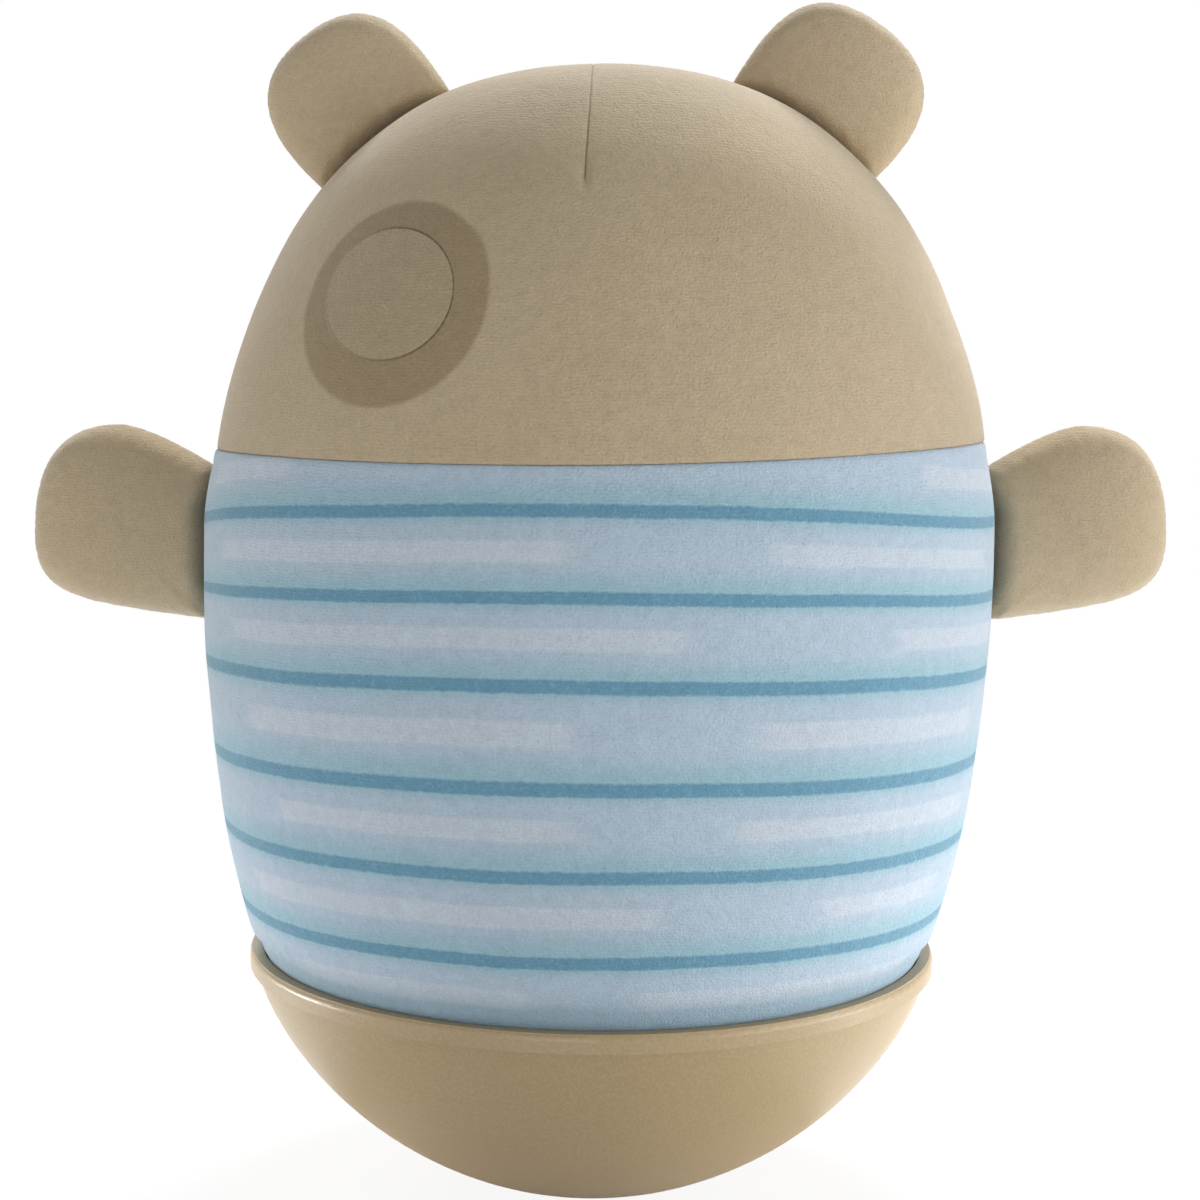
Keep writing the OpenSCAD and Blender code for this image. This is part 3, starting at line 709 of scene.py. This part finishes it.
def tan_cloth(name, tans, add_print=None):
    """Brushed knit, mottled between two tans. Add_print takes the paint and gives it back with a print."""
    material, wire, shader = new_material(name)
    x, y, z, here = place_in_mm(wire)
    paint = cloud(here, 45.0, detail=3.0).mix(*tans)
    if add_print:
        paint = add_print(paint, x, y, z, here)
    cloth_finish(shader, paint, knit_height(here, z))
    return material


head_knit = tan_cloth("tan_knit_head", HEAD_TANS, eye_patch)
limb_knit = tan_cloth("tan_knit", LIMB_LIT_TANS)
disc_knit = tan_cloth("tan_knit_disc", DISC_TANS, disc_stitches_and_shade)
print("tan cloths:", head_knit.name, limb_knit.name, disc_knit.name)

# %% [markdown]
# ## Head cover
# The head is one stuffed cap with side seams like the body's. A dart is sewn into its forehead: a fine fold
# from the crown down that ends in a small pucker. Bump alone would leave the outline and the light on the
# fold smooth, so the dart is geometry too, and the mesh is finest there. Its steps are turned aside a
# little, because the dart lies just beside the middle.

# %% Head cover
DART_LOW, DART_X, DART_SLANT = 172.6, -2.4, 0.037
HEAD_SEAMS = SIDE_SEAMS + ((0.0, 0.09, 0.5),)
HEAD_SEAM_DEPTH, SEAMS_FROM = 0.45, 3.0  # the side seams end at this radius under the crown
HEAD_BROAD, HEAD_FINE = (26.0, 0.35), (9.0, 0.07)  # reach and amount of the unevenness
BROW_Z, BROW_FULLNESS, BROW_REACH = 173, 0.5, 12
FOLD_DEPTH, FOLD_DEEPER, FOLD_WIDTH = 0.26, 0.3, 0.13
HOLLOW_DEPTH, HOLLOW_WIDTH = 0.16, 1.1
PUCKER_DEPTH, PUCKER_WIDTH = 0.5, 0.7
TOP_SLOPE = -50
TILT_GONE = 25  # mm over the neck seam where its tilt no longer shows
CAP_RINGS, CAP_FROM = 96, 132.9


def head_swell(x, y, z):
    """How far the stuffing pushes the head's cloth out: unevenly, and more at the brow."""
    uneven = soft_unevenness(x, y, z + 90, *HEAD_BROAD) + soft_unevenness(x, y, z, *HEAD_FINE)
    return uneven + BROW_FULLNESS * hump(z - BROW_Z, BROW_REACH)


def dart_dip(from_dart, z):
    """How far the dart draws the cloth in: a fine fold in a shallow hollow, and a pucker at its low end."""
    above = share_of(z, DART_LOW, DART_LOW + 1.5)
    low_end = hump(z - DART_LOW - 1.0, 9.0)
    fold = above * (FOLD_DEPTH + FOLD_DEEPER * low_end) * hump(from_dart, FOLD_WIDTH)
    hollow = above * HOLLOW_DEPTH * low_end * hump(from_dart, HOLLOW_WIDTH)
    pucker = PUCKER_DEPTH * hump(z - DART_LOW - 0.6, 1.6) * hump(from_dart, PUCKER_WIDTH)
    return fold + hollow + pucker


def head_shape(radius, z, angle):
    dart_x = DART_X - DART_SLANT * (CROWN - z)
    aside = math.asin(min(0.9, -dart_x / max(radius, 1e-6)))
    turned = angle - aside * hump(angle, 0.9)
    x, y = around(radius, turned)
    swell = head_swell(x, y, z)
    if radius > SEAMS_FROM:
        swell -= seam_dip(abs(y), HEAD_SEAM_DEPTH, SEAM_WIDTH)
    if y < 0:
        swell -= dart_dip(radius * angle, z)
    slope = (head_radius(min(z + 0.5, CROWN)) - head_radius(z - 0.5)) if radius > 0 else TOP_SLOPE
    length = math.hypot(1.0, slope)
    z -= swell * slope / length
    x, y = around(max(radius + swell / length, 0.0), turned)
    return x + lean(z), y, z + neck_tilt(x, y, NECK) * max(0.0, 1 - (z - NECK) / TILT_GONE)


out_of_neck = [(66.9, 131.0), (67.25, 131.04), (67.4, 131.15), (67.45, 131.4), (67.42, 132.0)]
cap_heights = [NECK + (CROWN - NECK) * (1 - (1 - i / CAP_RINGS) ** 2) for i in range(2, CAP_RINGS)]
cap = [(head_radius(z), z) for z in cap_heights if z > CAP_FROM]
head_cover = turned_cover("head_cover", out_of_neck + cap + [(1.2, CROWN - 0.005)], HEAD_SEAMS,
                          head_shape, head_knit, closed_top=True)
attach(head_cover, "base")
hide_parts("head_front_panel", "head_back_panel", "head_wadding")

# %% [markdown]
# ## Eye disc
# The disc is a round of the same cloth with its edge turned under and stitched down. Shrinkwrap could press
# a flat disc onto the head, but the head's own curve is at hand, so rings of points are set on it directly.
# The rings are close together at the edge, where the cloth goes down to the stitches.

# %% Eye disc
DISC_TURN = 160
DISC_LIFT, EDGE_DROP, EDGE_FROM = 0.1, 0.32, 0.95


def on_head(x, z, lift):
    """A point on the front of the head, seen from the front at x and z, lifted off the cloth."""
    radius = head_radius(z)
    y = -math.sqrt(max(0.0, radius * radius - x * x))
    slope = head_radius(z + 0.5) - head_radius(z - 0.5)
    normal = Vector((x / radius, y / radius, -slope)).normalized()
    return Vector((x + lean(z), y, z)) + normal * (lift + head_swell(x, y, z))


disc_shares = [0.03 + 0.075 * i for i in range(12)] + [0.92, 0.945, 0.962, 0.975, 0.985, 0.993, 1.0]
disc_points, disc_faces = [], []
for share in disc_shares:
    lift = DISC_LIFT - EDGE_DROP * max(0.0, (share - EDGE_FROM) / (1 - EDGE_FROM)) ** 2
    for i in range(DISC_TURN):
        turn = 2 * math.pi * i / DISC_TURN
        rise = DISC_HALF[1] * share * math.sin(turn)
        side = DISC_HALF[0] * share * math.cos(turn) + DISC_LEAN * rise
        disc_points.append(on_head(DISC_AT[0] + side, DISC_AT[1] + rise, lift))
for j in range(len(disc_shares) - 1):
    ring, outer = j * DISC_TURN, (j + 1) * DISC_TURN
    for i in range(DISC_TURN):
        k = (i + 1) % DISC_TURN
        disc_faces.append((ring + i, outer + i, outer + k, ring + k))
disc_faces.append(tuple(range(DISC_TURN)))
eye_disc = make_piece("eye_disc_cloth", disc_points, disc_faces, disc_knit)
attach(eye_disc, "base")
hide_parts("eye_disc")

# %% [markdown]
# ## Outline of the arms
# Each limb is two panels of cloth, sewn together round the edge, turned out and stuffed, and sewn flat into
# the side seam along its root. Its outline could be traced point by point, but a few Bezier curves hold the
# same form and stay smooth. They repeat the outline of the construction model, so a limb lies where its
# solids are. The arm's outline starts at the low end of the root, goes round the hand and comes back down
# the root.

# %% Outline of the arms
ROOT_POINTS = 24
ROOT_GAP = 0.1
ARM_X, ARM_Z, ARM_ROOT, ARM_LEN, ARM_RISE = BELLY_R + 0.3, 114.0, 26.6, 31.4, 21.2


def bezier(a, b, c, d, count):
    """Points on a curve from a to d, without d itself, that is drawn towards b and c."""
    points = []
    for i in range(count):
        t = i / count
        u = 1 - t
        weights = (u ** 3, 3 * u * u * t, 3 * u * t * t, t ** 3)
        points.append(tuple(sum(w * p[k] for w, p in zip(weights, (a, b, c, d))) for k in (0, 1)))
    return points


def arm_point(out, up):
    """A point at a share of the arm's length from the body and a share of its rise over its middle."""
    return ARM_X + out * ARM_LEN, ARM_Z + up * ARM_RISE


def beside_body(z):
    return body_radius(z) + ROOT_GAP, z


arm_low, arm_high = beside_body(ARM_Z - ARM_ROOT / 2), beside_body(ARM_Z + ARM_ROOT / 2)
arm_under = (arm_point(0.76, 0)[0], arm_low[1] + 0.13 * ARM_ROOT)
arm_tip, arm_top = arm_point(1, 0.09), arm_point(0.52, 1)
arm_root = [beside_body(arm_high[1] - ARM_ROOT * i / ROOT_POINTS) for i in range(ROOT_POINTS)]
arm_outline = (bezier(arm_low, arm_under, arm_point(1, -0.46), arm_tip, 30)
               + bezier(arm_tip, arm_point(1, 0.6), arm_point(0.9, 1), arm_top, 30)
               + bezier(arm_top, arm_point(0.38, 1), arm_point(0.09, 0.76), arm_high, 24)
               + arm_root)
arm_middle = arm_point(0.5, 0.16)
print("arm outline", len(arm_outline), "points")

# %% [markdown]
# ## Outline of the ears
# An ear stands on the slope of the head, so its outline is drawn in its own directions: along the root from
# its inner to its outer end, and up from the root. It runs from the outer end over the tip to the inner
# end.

# %% Outline of the ears
EAR_IN_Z, EAR_OUT_Z, EAR_H, EAR_FLARE = 194.8, 177.6, 24.2, 1.2


def beside_head(z):
    return head_radius(z) + ROOT_GAP, z


ear_in, ear_out = beside_head(EAR_IN_Z), beside_head(EAR_OUT_Z)
ear_base = ((ear_in[0] + ear_out[0]) / 2, (ear_in[1] + ear_out[1]) / 2)
ear_half = math.dist(ear_in, ear_out) / 2
ear_along = ((ear_out[0] - ear_in[0]) / (2 * ear_half), (ear_out[1] - ear_in[1]) / (2 * ear_half))
ear_up = (-ear_along[1], ear_along[0])


def ear_point(along, up):
    return tuple(ear_base[k] + along * ear_along[k] + up * ear_up[k] for k in (0, 1))


ear_tip = ear_point(0, EAR_H)
ear_root = [beside_head(EAR_IN_Z - (EAR_IN_Z - EAR_OUT_Z) * i / ROOT_POINTS) for i in range(ROOT_POINTS)]
ear_outline = (bezier(ear_out, ear_point(ear_half + 2.8 * EAR_FLARE, 0.59 * EAR_H),
                      ear_point(1.05 * ear_half, EAR_H), ear_tip, 36)
               + bezier(ear_tip, ear_point(-0.98 * ear_half, EAR_H),
                        ear_point(-ear_half - EAR_FLARE, 0.59 * EAR_H), ear_in, 36)
               + ear_root)
ear_middle = ear_point(0, 0.5 * EAR_H)
print("ear outline", len(ear_outline), "points")

# %% [markdown]
# ## Panels for the limbs
# The panels are cut as even triangles, because Cloth works badly on long thin ones. Triangle Fill would
# make long slivers, so a grid of points is laid inside the outline, and a Delaunay cut joins them up.

# %% Panels cut as even triangles
PANEL_SPACING = 1.0


def edge_reach(outline, middle):
    """A function that gives the distance from the middle to the outline in a direction."""
    pairs = sorted((math.atan2(z - middle[1], x - middle[0]), math.dist((x, z), middle)) for x, z in outline)
    turns, lengths = zip(*pairs)

    def reach(x, z):
        return np.interp(math.atan2(z - middle[1], x - middle[0]), turns, lengths, period=2 * math.pi)
    return reach


def cut_panel(outline, middle):
    """Even triangles inside an outline: the outline's own points first, then a grid of points inside it."""
    reach = edge_reach(outline, middle)
    points, n = [Vector(point) for point in outline], len(outline)
    low = [min(point[k] for point in outline) for k in (0, 1)]
    high = [max(point[k] for point in outline) for k in (0, 1)]
    row_height = PANEL_SPACING * math.sqrt(3) / 2
    for row in range(int((high[1] - low[1]) / row_height) + 1):
        for column in range(int((high[0] - low[0]) / PANEL_SPACING) + 1):
            spot = (low[0] + PANEL_SPACING * (column + row % 2 / 2), low[1] + row_height * row)
            inside = math.dist(spot, middle) < reach(*spot)
            if inside and min(math.dist(spot, p) for p in outline) > 0.6 * PANEL_SPACING:
                points.append(Vector(spot))
    cut = geometry.delaunay_2d_cdt(points, [(i, (i + 1) % n) for i in range(n)], [], 1, 1e-6)
    assert len(cut[0]) == len(points), "the cut has other points than the pattern"
    return points, [tuple(face) for face in cut[2]]


print("triangles about", PANEL_SPACING, "mm wide")

# %% [markdown]
# ## A pillow to start from
# Two flat panels would take long to blow up, so the simulation starts from a pillow that is nearly full. A
# point's share says how far it is on its way from the middle to the edge, and the pillow is round in that
# share. Towards the root it stays full and then comes to an edge within a short taper, because there it is
# sewn flat into the seam.

# %% A pillow to start from
FULLNESS_AT_START = 0.9


def start_pillow(outline, middle, half, from_root, taper, inward):
    """Points and faces of a pillow: a front and a back panel that share the sewn edge. Inward says where its
    root would be if the pillow went on into the body."""
    panel, triangles = cut_panel(outline, middle)
    n = len(outline)
    deep = outline[:-ROOT_POINTS] + [(x + inward[0], z + inward[1]) for x, z in outline[-ROOT_POINTS:]]
    reach = edge_reach(deep, middle)
    swell = []
    for x, z in panel:
        share = min(1.0, math.dist((x, z), middle) / reach(x, z))
        root = share_of(from_root(x, z), 0.0, taper)
        swell.append(half * math.sqrt(1 - share * share) * math.sqrt(root * (2 - root)))
    points = [Vector((x, 0.0 if i < n else -swell[i], z)) for i, (x, z) in enumerate(panel)]
    points += [Vector((x, swell[n + i], z)) for i, (x, z) in enumerate(panel[n:])]
    other = [i if i < n else i + len(panel) - n for i in range(len(panel))]
    faces = triangles + [tuple(other[i] for i in face[::-1]) for face in triangles]
    return points, faces


print("the pillow starts at", FULLNESS_AT_START, "of the limb's thickness")

# %% [markdown]
# ## Stuffing by simulation
# A limb could be swollen by formula alone, but then its seam lies too smooth. Blender's Cloth blows the
# pillow up from inside while the root is held, with gravity off. It works on a copy five times as large,
# because its settings suit cushions, and a Smooth modifier takes out its small wrinkles. The modifiers are
# worked into the mesh at the end, so no simulation is left in the file.

# %% Stuffing by simulation
SIM_SCALE, SIM_FRAMES = 5.0, 20


def with_modifiers(piece):
    """The piece's mesh with its modifiers worked in."""
    shape = piece.evaluated_get(bpy.context.evaluated_depsgraph_get())
    return bpy.data.meshes.new_from_object(shape)


def blown_up(points, faces, held):
    """Where the points are once the cloth has been blown up. Held points stay."""
    mesh = bpy.data.meshes.new("stuffing")
    mesh.from_pydata([point * MM * SIM_SCALE for point in points], [], faces)
    sack = bpy.data.objects.new("stuffing", mesh)
    scene.collection.objects.link(sack)
    sack.vertex_groups.new(name="held").add(held, 1.0, "REPLACE")
    cloth = sack.modifiers.new("cloth", "CLOTH")
    settings = cloth.settings
    settings.quality, settings.mass = 8, 0.15
    settings.tension_stiffness = settings.compression_stiffness = 25
    settings.shear_stiffness, settings.bending_stiffness = 10, 0.6
    settings.use_pressure, settings.uniform_pressure_force = True, 4.0
    settings.vertex_group_mass, settings.pin_stiffness = "held", 1.0
    settings.effector_weights.gravity = 0.0
    cloth.collision_settings.use_collision = False
    smooth = sack.modifiers.new("smooth", "SMOOTH")
    smooth.factor, smooth.iterations = 0.5, 10
    smooth.vertex_group, smooth.invert_vertex_group = "held", True
    for number in range(1, SIM_FRAMES + 1):
        scene.frame_set(number)
    result = [vertex.co / MM / SIM_SCALE for vertex in with_modifiers(sack).vertices]
    bpy.data.objects.remove(sack)
    scene.frame_set(1)
    return result


print("cloth runs for", SIM_FRAMES, "frames")

# %% [markdown]
# ## Stuffed arm and ear
# The cloth pulls the sewn edge in as it swells. So each point moves out along its ray from the middle until
# the edge lies on the outline again, and the thickness is brought to that of the real limb.

# %% Stuffed arm and ear
SEAM_PROUD = 0.5  # what the last subdivision takes off the sewn edge
ARM_HALF, ARM_TAPER, ARM_INWARD = 9.0, 2.2, 14.0
EAR_HALF, EAR_TAPER, EAR_INWARD = 6.5, 2.4, 10.0


def stuffed_form(outline, middle, half, from_root, taper, inward):
    """Points and faces of a stuffed limb, its sewn edge on the outline and its thickness twice the half."""
    points, faces = start_pillow(outline, middle, half * FULLNESS_AT_START, from_root, taper, inward)
    n = len(outline)
    held = list(range(n - ROOT_POINTS, n)) + [0]
    points = blown_up(points, faces, held)
    wanted, got = edge_reach(outline, middle), edge_reach([(p.x, p.z) for p in points[:n]], middle)
    thickest = max(abs(p.y) for p in points)
    result = []
    for i, p in enumerate(points):
        pull = wanted(p.x, p.z) / got(p.x, p.z)
        if 0 < i < n - ROOT_POINTS:
            pull *= 1 + SEAM_PROUD / wanted(p.x, p.z)
        y = 0.0 if i < n else p.y * half / thickest
        result.append(Vector((middle[0] + (p.x - middle[0]) * pull, y, middle[1] + (p.z - middle[1]) * pull)))
    print("pillow of", len(points), "points, thickest before scaling", round(thickest, 2), "mm")
    return result, faces


def from_arm_root(x, z):
    return x - beside_body(z)[0]


def from_ear_root(x, z):
    return (x - ear_base[0]) * ear_up[0] + (z - ear_base[1]) * ear_up[1]


arm_form = stuffed_form(arm_outline, arm_middle, ARM_HALF, from_arm_root, ARM_TAPER, (-ARM_INWARD, 0.0))
ear_form = stuffed_form(ear_outline, ear_middle, EAR_HALF, from_ear_root, EAR_TAPER,
                        (-EAR_INWARD * ear_up[0], -EAR_INWARD * ear_up[1]))

# %% [markdown]
# ## Both arms and both ears
# An arm and an ear are stuffed once each and set on both sides. On the real toy no pair is quite even, so
# each pair is turned and moved by a hair, and the left ear is a little narrower. One subdivision rounds the
# triangles.

# %% Both arms and both ears
ARM_TURN, EAR_TURN, EAR_TURN_Z = 0.6, 1.4, 150.0  # degrees, and the height that the ears are turned about
ARM_ASIDE, EAR_ASIDE = {"left": 0.9, "right": 0.6}, {"left": 0.5, "right": -0.4}
EAR_NARROWER = {"left": 0.06, "right": 0.0}
LIMB_SWELL = (11.0, 0.35)


def narrowed(form, share):
    """An ear's form with its inner end drawn towards its outer end by a share."""
    points = []
    for p in form[0]:
        drawn = share * ((p.x - ear_out[0]) * ear_along[0] + (p.z - ear_out[1]) * ear_along[1])
        points.append(Vector((p.x - drawn * ear_along[0], p.y, p.z - drawn * ear_along[1])))
    return points, form[1]


def set_limb(name, form, mirror, height, degrees, aside):
    """A limb on one side, turned by some degrees about the toy's middle at a height, and moved aside."""
    middle = Vector((0, 0, height))
    turn = Matrix.Rotation(math.radians(-degrees), 3, "Y")
    points = []
    for p in form[0]:
        q = Vector((mirror * p.x, p.y, p.z))
        q.y += soft_unevenness(q.x, 40 + q.y, q.z, *LIMB_SWELL) * min(1.0, abs(q.y) / 3)
        points.append(turn @ (q - middle) + middle + Vector((aside, 0, 0)))
    faces = [face if mirror < 0 else face[::-1] for face in form[1]]
    piece = make_piece(name, points, faces, limb_knit)
    piece.modifiers.new("rounding", "SUBSURF").levels = 1
    piece.data = with_modifiers(piece)
    piece.modifiers.clear()
    return piece


for side, mirror in (("left", -1), ("right", 1)):
    arm = set_limb(f"arm_{side}_stuffed", arm_form, mirror, ARM_Z, ARM_TURN, ARM_ASIDE[side])
    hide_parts(*[f"arm_{side}_{part}" for part in ("front_panel", "back_panel", "stuffing")])
    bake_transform(arm)
    this_ear = narrowed(ear_form, EAR_NARROWER[side])
    ear = set_limb(f"ear_{side}_stuffed", this_ear, mirror, EAR_TURN_Z, EAR_TURN, EAR_ASIDE[side])
    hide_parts(*[f"ear_{side}_{part}" for part in ("front_panel", "back_panel", "stuffing")])
    root, above = Vector((mirror * ear_base[0], 0, ear_base[1])), Vector((mirror * ear_up[0], 0, ear_up[1]))
    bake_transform(ear)

# %% [markdown]
# ## Bowl and works
# The bowl is moulded plastic with a fine sparkling grain, made from one fine noise for colour and bump. The
# works inside are hidden while the toy is whole, but it can be shown in section, so they get finishes of
# their own: a paler plastic, iron, and steel whose grain is stretched along the piece.

# %% Finishes of plastic and metal
PLASTIC_GRAIN_DEPTH, METAL_GRAIN_DEPTH = 0.06, 0.03


def moulded(name, base, speck, roughness, contrast=0.3, specular=0.45):
    material, wire, shader = new_material(name)
    here = place_on_object(wire)
    fine = cloud(here, 2300.0, roughness=0.6)
    paint = (fine.step(0.35, 0.7) * contrast).mix(base, speck)
    bump = wire.node("Bump", {}, {"Strength": 0.6, "Distance": PLASTIC_GRAIN_DEPTH * MM, "Height": fine})
    gloss = cloud(here, 30.0) * 0.12 + (roughness - 0.06)
    finish_material(shader, {"Specular IOR Level": specular},
                    {"Base Color": paint, "Roughness": gloss, "Normal": bump})
    return material


def metal(name, base, roughness, stretch):
    material, wire, shader = new_material(name)
    here = place_on_object(wire)
    stretched = wire.node("VectorMath", {"operation": "MULTIPLY"}, {0: here, 1: stretch})
    grain = cloud(stretched, 1200.0, detail=4.0)
    paint = grain.mix(base, tuple(0.8 * c for c in base[:3]) + (1.0,))
    bump = wire.node("Bump", {}, {"Strength": 0.3, "Distance": METAL_GRAIN_DEPTH * MM, "Height": grain})
    gloss = grain * 0.2 + (roughness - 0.1)
    finish_material(shader, {"Metallic": 1.0}, {"Base Color": paint, "Roughness": gloss, "Normal": bump})
    return material


finishes = {
    "bowl_plastic": moulded("bowl_plastic", colour(164, 142, 104), colour(182, 161, 124), 0.36, 0.5, 0.7),
    "inner_plastic": moulded("inner_plastic", colour(226, 224, 216), colour(238, 237, 231), 0.45),
    "bead_plastic": moulded("bead_plastic", colour(203, 172, 126), colour(214, 186, 142), 0.4),
    "ballast_iron": metal("ballast_iron", colour(92, 92, 95), 0.65, (1, 1, 1)),
    "screw_steel": metal("screw_steel", colour(196, 197, 200), 0.35, (1, 1, 0.2)),
    "chime_steel": metal("chime_steel", colour(205, 207, 212), 0.25, (1, 1, 0.05)),
}
print("finishes:", ", ".join(finishes))

# %% [markdown]
# ## Finishes on the bowl and the works
# These pieces are shown as they come from the construction model, so each only needs its material. The
# names of the pieces say which finish they have: screws and wire parts are screw steel, and the rods are
# chime steel.

# %% Finishes on the pieces
node_finish = {"base_bowl": "bowl_plastic", "ballast_weight": "ballast_iron", "base_deck": "inner_plastic",
               "chime_block": "inner_plastic", "striker_bead": "bead_plastic"}
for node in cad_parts:
    if node.endswith("_screws") or node in ("striker_eye", "striker_link", "striker_stem"):
        node_finish[node] = "screw_steel"
    if node.startswith("chime_rod"):
        node_finish[node] = "chime_steel"
for node, finish in node_finish.items():
    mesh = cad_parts[node].data
    mesh.materials.clear()
    mesh.materials.append(finishes[finish])
print("finished nodes:", len(node_finish))
